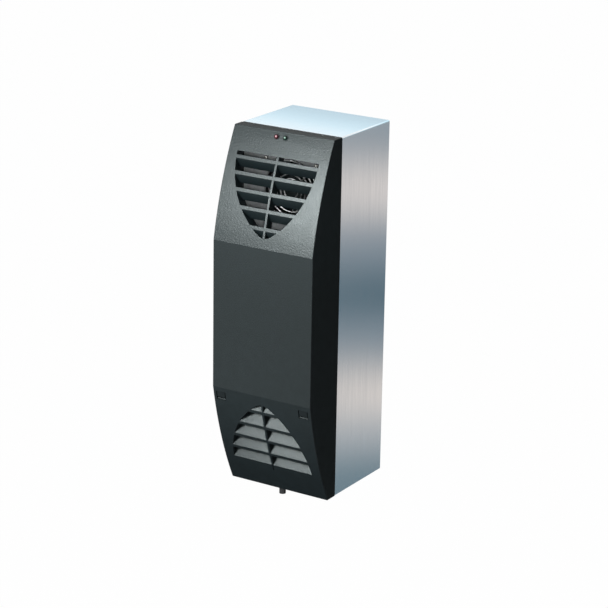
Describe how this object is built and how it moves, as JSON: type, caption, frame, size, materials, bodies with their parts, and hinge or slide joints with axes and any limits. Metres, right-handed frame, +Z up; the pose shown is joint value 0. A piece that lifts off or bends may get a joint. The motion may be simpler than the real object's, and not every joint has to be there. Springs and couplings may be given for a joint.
{
  "type": "enclosure air conditioner",
  "caption": "Slim vertical enclosure air conditioner: steel casing, black barrel-fronted cover that swings up, two louvred grilles, two fans and a sealed cooling circuit.",
  "frame": {"origin": "centre of the rear mounting face, on the plane of the rear panel", "axes": "+X to the unit's right seen from its front, +Y out of the back into the enclosure, +Z up"},
  "size_m": [0.206, 0.253, 0.677],
  "materials": {
    "cover_plastic": "fine moulded grain",
    "casing_steel": "brushed stainless",
    "galvanised_sheet": "galvanised",
    "gasket_rubber": "closed-cell foam",
    "zinc_steel": "zinc plated",
    "red_lens": "clear tinted",
    "green_lens": "clear tinted",
    "black_plastic": "satin",
    "stub_plastic": "satin",
    "cast_aluminium": "black coated casting",
    "guard_chrome": "bright plated wire",
    "fin_aluminium": "mill",
    "copper": "drawn copper",
    "black_paint": "semi-gloss",
    "board_green": "solder mask",
    "ivory_plastic": "satin"
  },
  "bodies": {
    "casing": {"accumulator_pipe": "copper", "capillary_tube": "copper", "casing_wrap": "casing_steel", "compressor_base": "black_paint", "compressor_bolts": "zinc_steel", "compressor_grommets": "gasket_rubber", "compressor_shell": "black_paint", "condenser_end_plates": "galvanised_sheet", "condenser_fan_frame": "cast_aluminium", "condenser_fan_guard": "guard_chrome", "condenser_fan_screws": "zinc_steel", "condenser_fins": "fin_aluminium", "condenser_tubes": "copper", "control_board": "board_green", "control_box": "galvanised_sheet", "control_box_lid": "galvanised_sheet", "control_box_screws": "zinc_steel", "discharge_pipe": "copper", "drain_pipe": "stub_plastic", "drain_stub": "stub_plastic", "drip_tray": "black_plastic", "evaporator_end_plates": "galvanised_sheet", "evaporator_fan_frame": "cast_aluminium", "evaporator_fan_guard": "guard_chrome", "evaporator_fan_screws": "zinc_steel", "evaporator_fins": "fin_aluminium", "evaporator_tubes": "copper", "filter_drier": "copper", "front_bulkhead": "galvanised_sheet", "hinge_brackets": "zinc_steel", "latch_housings": "black_plastic", "liquid_pipe": "copper", "mounting_inserts": "zinc_steel", "partition_plate": "galvanised_sheet", "power_socket": "black_plastic", "rear_gasket": "gasket_rubber", "rear_panel": "galvanised_sheet", "run_capacitor": "fin_aluminium", "suction_accumulator": "black_paint", "suction_pipe": "copper", "terminal_block": "ivory_plastic", "terminal_cover": "black_plastic"},
    "front_cover": {"front_cover": "cover_plastic", "red_lamp": "red_lens", "green_lamp": "green_lens", "lamp_bezels": "black_plastic", "lamp_board": "board_green"},
    "condenser_rotor": {"condenser_fan_rotor": "black_plastic"},
    "evaporator_rotor": {"evaporator_fan_rotor": "black_plastic"},
    "left_tab": {"left_release_tab": "black_plastic"},
    "right_tab": {"right_release_tab": "black_plastic"}
  },
  "joints": [
    {"name": "cover_swing", "type": "hinge", "parent": "casing", "child": "front_cover", "pos_m": [0, -0.1645, 0.328], "axis": [-1, 0, 0], "range_deg": [0, 45]},
    {"name": "condenser_fan_spin", "type": "hinge", "parent": "casing", "child": "condenser_rotor", "pos_m": [0, -0.1385, 0.221], "axis": [0, 1, 0], "continuous": true},
    {"name": "evaporator_fan_spin", "type": "hinge", "parent": "casing", "child": "evaporator_rotor", "pos_m": [0, -0.0229, 0.221], "axis": [0, 1, 0], "continuous": true},
    {"name": "left_tab_press", "type": "slide", "parent": "casing", "child": "left_tab", "axis": [0, 1, 0], "range_m": [0, 0.004], "stiffness_N_per_m": 500},
    {"name": "right_tab_press", "type": "slide", "parent": "casing", "child": "right_tab", "axis": [0, 1, 0], "range_m": [0, 0.004], "stiffness_N_per_m": 500}
  ]
}
